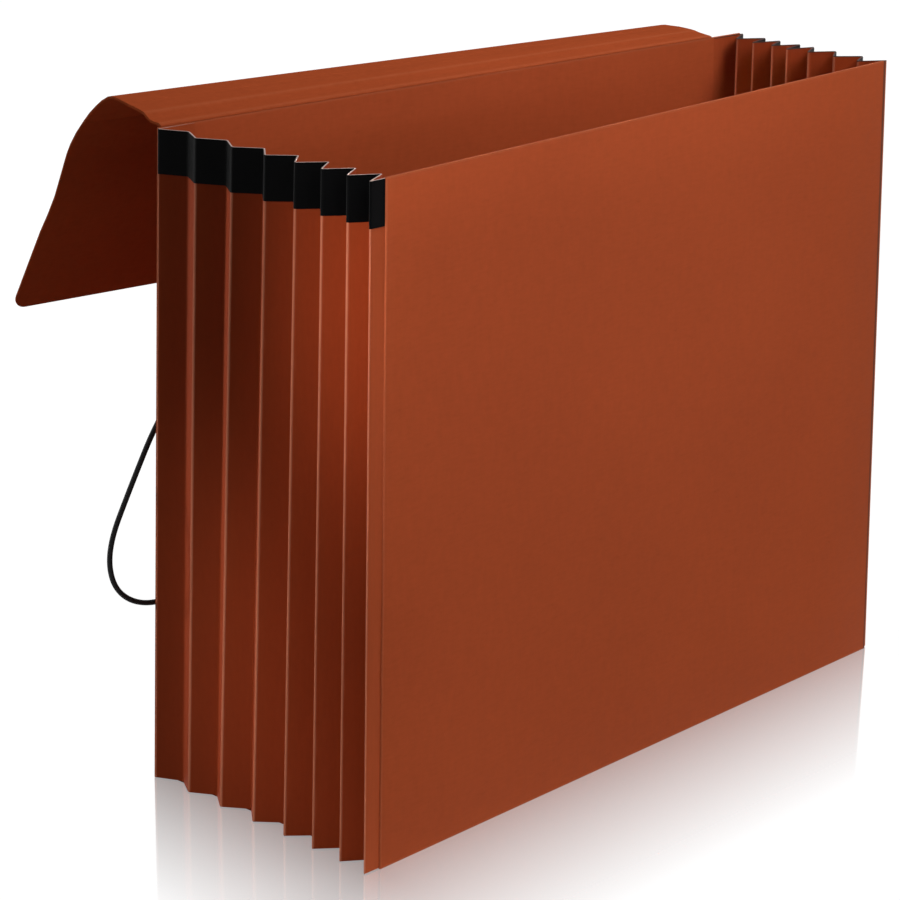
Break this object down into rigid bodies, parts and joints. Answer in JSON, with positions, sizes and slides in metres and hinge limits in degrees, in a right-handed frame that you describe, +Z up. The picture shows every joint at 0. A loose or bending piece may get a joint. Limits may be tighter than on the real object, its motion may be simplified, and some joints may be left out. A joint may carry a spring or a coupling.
{
  "type": "accordion file folder",
  "caption": "Free-standing expanding paper wallet with pleated gussets, a scored flap folded over the back and an elastic loop, for carrying and filing papers.",
  "frame": {"origin": "middle of the back board's bottom edge, at mid-thickness, on the surface that the folder stands on", "axes": "+X along the boards to the right as seen from the front, +Y to the back, +Z up"},
  "size_m": [0.3206, 0.2005, 0.2482],
  "materials": {
    "board_brown": "matte fibre board",
    "gusset_paper": "matte tear-resistant paper",
    "cord_black": "braided elastic",
    "eyelet_brass": "satin"
  },
  "bodies": {
    "back": {"back_panel": "board_brown", "back_flange_left": "gusset_paper", "back_flange_bottom": "gusset_paper", "back_flange_right": "gusset_paper", "bottom_gusset": "gusset_paper", "cord_eyelet_left": "eyelet_brass", "cord_eyelet_right": "eyelet_brass", "cord_knot_left": "cord_black", "cord_knot_right": "cord_black", "elastic_cord": "cord_black"},
    "front": {"front_panel": "board_brown", "front_flange_left": "gusset_paper", "front_flange_bottom": "gusset_paper", "front_flange_right": "gusset_paper"},
    "left_pleat_01": {"left_pleat_01": "gusset_paper"},
    "left_pleat_02": {"left_pleat_02": "gusset_paper"},
    "left_pleat_03": {"left_pleat_03": "gusset_paper"},
    "left_pleat_04": {"left_pleat_04": "gusset_paper"},
    "left_pleat_05": {"left_pleat_05": "gusset_paper"},
    "left_pleat_06": {"left_pleat_06": "gusset_paper"},
    "left_pleat_07": {"left_pleat_07": "gusset_paper"},
    "left_pleat_08": {"left_pleat_08": "gusset_paper"},
    "left_pleat_09": {"left_pleat_09": "gusset_paper"},
    "left_pleat_10": {"left_pleat_10": "gusset_paper"},
    "left_pleat_11": {"left_pleat_11": "gusset_paper"},
    "left_pleat_12": {"left_pleat_12": "gusset_paper"},
    "left_pleat_13": {"left_pleat_13": "gusset_paper"},
    "left_pleat_14": {"left_pleat_14": "gusset_paper"},
    "right_pleat_01": {"right_pleat_01": "gusset_paper"},
    "right_pleat_02": {"right_pleat_02": "gusset_paper"},
    "right_pleat_03": {"right_pleat_03": "gusset_paper"},
    "right_pleat_04": {"right_pleat_04": "gusset_paper"},
    "right_pleat_05": {"right_pleat_05": "gusset_paper"},
    "right_pleat_06": {"right_pleat_06": "gusset_paper"},
    "right_pleat_07": {"right_pleat_07": "gusset_paper"},
    "right_pleat_08": {"right_pleat_08": "gusset_paper"},
    "right_pleat_09": {"right_pleat_09": "gusset_paper"},
    "right_pleat_10": {"right_pleat_10": "gusset_paper"},
    "right_pleat_11": {"right_pleat_11": "gusset_paper"},
    "right_pleat_12": {"right_pleat_12": "gusset_paper"},
    "right_pleat_13": {"right_pleat_13": "gusset_paper"},
    "right_pleat_14": {"right_pleat_14": "gusset_paper"},
    "flap_spine": {"flap_spine": "board_brown"},
    "flap_curl": {"flap_curl": "board_brown"},
    "flap_panel": {"flap_panel": "board_brown"}
  },
  "joints": [
    {"name": "left_fold_01", "type": "hinge", "parent": "back", "child": "left_pleat_01", "pos_m": [-0.1524, -0.00103, 0.12065], "axis": [0, 0, 1], "range_deg": [0, 57.72], "deforming": ["bottom_gusset"]},
    {"name": "left_fold_02", "type": "hinge", "parent": "left_pleat_01", "child": "left_pleat_02", "pos_m": [-0.14806, -0.01062, 0.12065], "axis": [0, 0, 1], "range_deg": [-115.93, 0.5]},
    {"name": "left_fold_03", "type": "hinge", "parent": "left_pleat_02", "child": "left_pleat_03", "pos_m": [-0.1524, -0.02021, 0.12065], "axis": [0, 0, 1], "range_deg": [-0.5, 111.98]},
    {"name": "left_fold_04", "type": "hinge", "parent": "left_pleat_03", "child": "left_pleat_04", "pos_m": [-0.14737, -0.02946, 0.12065], "axis": [0, 0, 1], "range_deg": [-108.04, 0.5]},
    {"name": "left_fold_05", "type": "hinge", "parent": "left_pleat_04", "child": "left_pleat_05", "pos_m": [-0.1524, -0.03871, 0.12065], "axis": [0, 0, 1], "range_deg": [-0.5, 102.49]},
    {"name": "left_fold_06", "type": "hinge", "parent": "left_pleat_05", "child": "left_pleat_06", "pos_m": [-0.14644, -0.04739, 0.12065], "axis": [0, 0, 1], "range_deg": [-96.94, 0.5]},
    {"name": "left_fold_07", "type": "hinge", "parent": "left_pleat_06", "child": "left_pleat_07", "pos_m": [-0.1524, -0.05608, 0.12065], "axis": [0, 0, 1], "range_deg": [-0.5, 90.55]},
    {"name": "left_fold_08", "type": "hinge", "parent": "left_pleat_07", "child": "left_pleat_08", "pos_m": [-0.14546, -0.06399, 0.12065], "axis": [0, 0, 1], "range_deg": [-84.16, 0.5]},
    {"name": "left_fold_09", "type": "hinge", "parent": "left_pleat_08", "child": "left_pleat_09", "pos_m": [-0.1524, -0.07191, 0.12065], "axis": [0, 0, 1], "range_deg": [-0.5, 77.77]},
    {"name": "left_fold_10", "type": "hinge", "parent": "left_pleat_09", "child": "left_pleat_10", "pos_m": [-0.14457, -0.07895, 0.12065], "axis": [0, 0, 1], "range_deg": [-71.38, 0.5]},
    {"name": "left_fold_11", "type": "hinge", "parent": "left_pleat_10", "child": "left_pleat_11", "pos_m": [-0.1524, -0.08598, 0.12065], "axis": [0, 0, 1], "range_deg": [-0.5, 69.03]},
    {"name": "left_fold_12", "type": "hinge", "parent": "left_pleat_11", "child": "left_pleat_12", "pos_m": [-0.14427, -0.09267, 0.12065], "axis": [0, 0, 1], "range_deg": [-66.68, 0.5]},
    {"name": "left_fold_13", "type": "hinge", "parent": "left_pleat_12", "child": "left_pleat_13", "pos_m": [-0.1524, -0.09936, 0.12065], "axis": [0, 0, 1], "range_deg": [-0.5, 62.54]},
    {"name": "left_fold_14", "type": "hinge", "parent": "left_pleat_13", "child": "left_pleat_14", "pos_m": [-0.14378, -0.10541, 0.12065], "axis": [0, 0, 1], "range_deg": [-58.4, 0.5]},
    {"name": "left_front_fold", "type": "hinge", "parent": "left_pleat_14", "child": "front", "pos_m": [-0.1524, -0.11146, 0.12065], "axis": [0, 0, 1], "range_deg": [-0.5, 23.53]},
    {"name": "right_fold_01", "type": "hinge", "parent": "back", "child": "right_pleat_01", "pos_m": [0.1524, -0.00103, 0.12065], "axis": [0, 0, 1], "range_deg": [-28.36, 0.5]},
    {"name": "right_fold_02", "type": "hinge", "parent": "right_pleat_01", "child": "right_pleat_02", "pos_m": [0.14366, -0.0069, 0.12065], "axis": [0, 0, 1], "range_deg": [-0.5, 58.8]},
    {"name": "right_fold_03", "type": "hinge", "parent": "right_pleat_02", "child": "right_pleat_03", "pos_m": [0.15211, -0.01318, 0.12065], "axis": [0, 0, 1], "range_deg": [-47.24, 0.5]},
    {"name": "right_fold_04", "type": "hinge", "parent": "right_pleat_03", "child": "right_pleat_04", "pos_m": [0.14232, -0.01706, 0.12065], "axis": [0, 0, 1], "range_deg": [-0.5, 35.67]},
    {"name": "right_fold_05", "type": "hinge", "parent": "right_pleat_04", "child": "right_pleat_05", "pos_m": [0.15191, -0.02139, 0.12065], "axis": [0, 0, 1], "range_deg": [-43.29, 0.5]},
    {"name": "right_fold_06", "type": "hinge", "parent": "right_pleat_05", "child": "right_pleat_06", "pos_m": [0.14277, -0.02661, 0.12065], "axis": [0, 0, 1], "range_deg": [-0.5, 50.9]},
    {"name": "right_fold_07", "type": "hinge", "parent": "right_pleat_06", "child": "right_pleat_07", "pos_m": [0.15165, -0.03225, 0.12065], "axis": [0, 0, 1], "range_deg": [-41.31, 0.5]},
    {"name": "right_fold_08", "type": "hinge", "parent": "right_pleat_07", "child": "right_pleat_08", "pos_m": [0.14173, -0.03577, 0.12065], "axis": [0, 0, 1], "range_deg": [-0.5, 31.72]},
    {"name": "right_fold_09", "type": "hinge", "parent": "right_pleat_08", "child": "right_pleat_09", "pos_m": [0.15147, -0.03975, 0.12065], "axis": [0, 0, 1], "range_deg": [-45.45, 0.5]},
    {"name": "right_fold_10", "type": "hinge", "parent": "right_pleat_09", "child": "right_pleat_10", "pos_m": [0.14275, -0.04565, 0.12065], "axis": [0, 0, 1], "range_deg": [-0.5, 59.18]},
    {"name": "right_fold_11", "type": "hinge", "parent": "right_pleat_10", "child": "right_pleat_11", "pos_m": [0.15118, -0.05196, 0.12065], "axis": [0, 0, 1], "range_deg": [-63.79, 0.5]},
    {"name": "right_fold_12", "type": "hinge", "parent": "right_pleat_11", "child": "right_pleat_12", "pos_m": [0.143, -0.05859, 0.12065], "axis": [0, 0, 1], "range_deg": [-0.5, 68.39]},
    {"name": "right_fold_13", "type": "hinge", "parent": "right_pleat_12", "child": "right_pleat_13", "pos_m": [0.15085, -0.0656, 0.12065], "axis": [0, 0, 1], "range_deg": [-64.35, 0.5]},
    {"name": "right_fold_14", "type": "hinge", "parent": "right_pleat_13", "child": "right_pleat_14", "pos_m": [0.1422, -0.07159, 0.12065], "axis": [0, 0, 1], "range_deg": [-0.5, 60.31]},
    {"name": "flap_fold", "type": "hinge", "parent": "back", "child": "flap_spine", "pos_m": [-0.00825, 0, 0.2421], "axis": [1, 0, 0], "range_deg": [0, 145]},
    {"name": "flap_score_1", "type": "hinge", "parent": "flap_spine", "child": "flap_curl", "pos_m": [-0.00825, 0.02667, 0.2478], "axis": [1, 0, 0], "range_deg": [-0.5, 78.5]},
    {"name": "flap_score_2", "type": "hinge", "parent": "flap_curl", "child": "flap_panel", "pos_m": [-0.00825, 0.05597, 0.22], "axis": [1, 0, 0], "range_deg": [-0.5, 24.5]}
  ],
  "couplings": [
    {"joint": "left_fold_02", "follows": "left_fold_01", "ratio": -2},
    {"joint": "left_fold_03", "follows": "left_fold_01", "ratio": 1.9316},
    {"joint": "left_fold_04", "follows": "left_fold_01", "ratio": -1.8632},
    {"joint": "left_fold_05", "follows": "left_fold_01", "ratio": 1.7671},
    {"joint": "left_fold_06", "follows": "left_fold_01", "ratio": -1.671},
    {"joint": "left_fold_07", "follows": "left_fold_01", "ratio": 1.5603},
    {"joint": "left_fold_08", "follows": "left_fold_01", "ratio": -1.4495},
    {"joint": "left_fold_09", "follows": "left_fold_01", "ratio": 1.3388},
    {"joint": "left_fold_10", "follows": "left_fold_01", "ratio": -1.228},
    {"joint": "left_fold_11", "follows": "left_fold_01", "ratio": 1.1873},
    {"joint": "left_fold_12", "follows": "left_fold_01", "ratio": -1.1466},
    {"joint": "left_fold_13", "follows": "left_fold_01", "ratio": 1.0749},
    {"joint": "left_fold_14", "follows": "left_fold_01", "ratio": -1.0033},
    {"joint": "left_front_fold", "follows": "left_fold_01", "ratio": 0.39895},
    {"joint": "right_fold_01", "follows": "left_fold_01", "ratio": -0.48273},
    {"joint": "right_fold_02", "follows": "left_fold_01", "ratio": 1.0102},
    {"joint": "right_fold_03", "follows": "left_fold_01", "ratio": -0.80975},
    {"joint": "right_fold_04", "follows": "left_fold_01", "ratio": 0.60935},
    {"joint": "right_fold_05", "follows": "left_fold_01", "ratio": -0.74132},
    {"joint": "right_fold_06", "follows": "left_fold_01", "ratio": 0.87329},
    {"joint": "right_fold_07", "follows": "left_fold_01", "ratio": -0.7071},
    {"joint": "right_fold_08", "follows": "left_fold_01", "ratio": 0.54092},
    {"joint": "right_fold_09", "follows": "left_fold_01", "ratio": -0.77879},
    {"joint": "right_fold_10", "follows": "left_fold_01", "ratio": 1.0167},
    {"joint": "right_fold_11", "follows": "left_fold_01", "ratio": -1.0965},
    {"joint": "right_fold_12", "follows": "left_fold_01", "ratio": 1.1764},
    {"joint": "right_fold_13", "follows": "left_fold_01", "ratio": -1.1063},
    {"joint": "right_fold_14", "follows": "left_fold_01", "ratio": 1.0362},
    {"joint": "flap_score_1", "follows": "flap_fold", "ratio": 0.53793},
    {"joint": "flap_score_2", "follows": "flap_fold", "ratio": 0.16552}
  ]
}
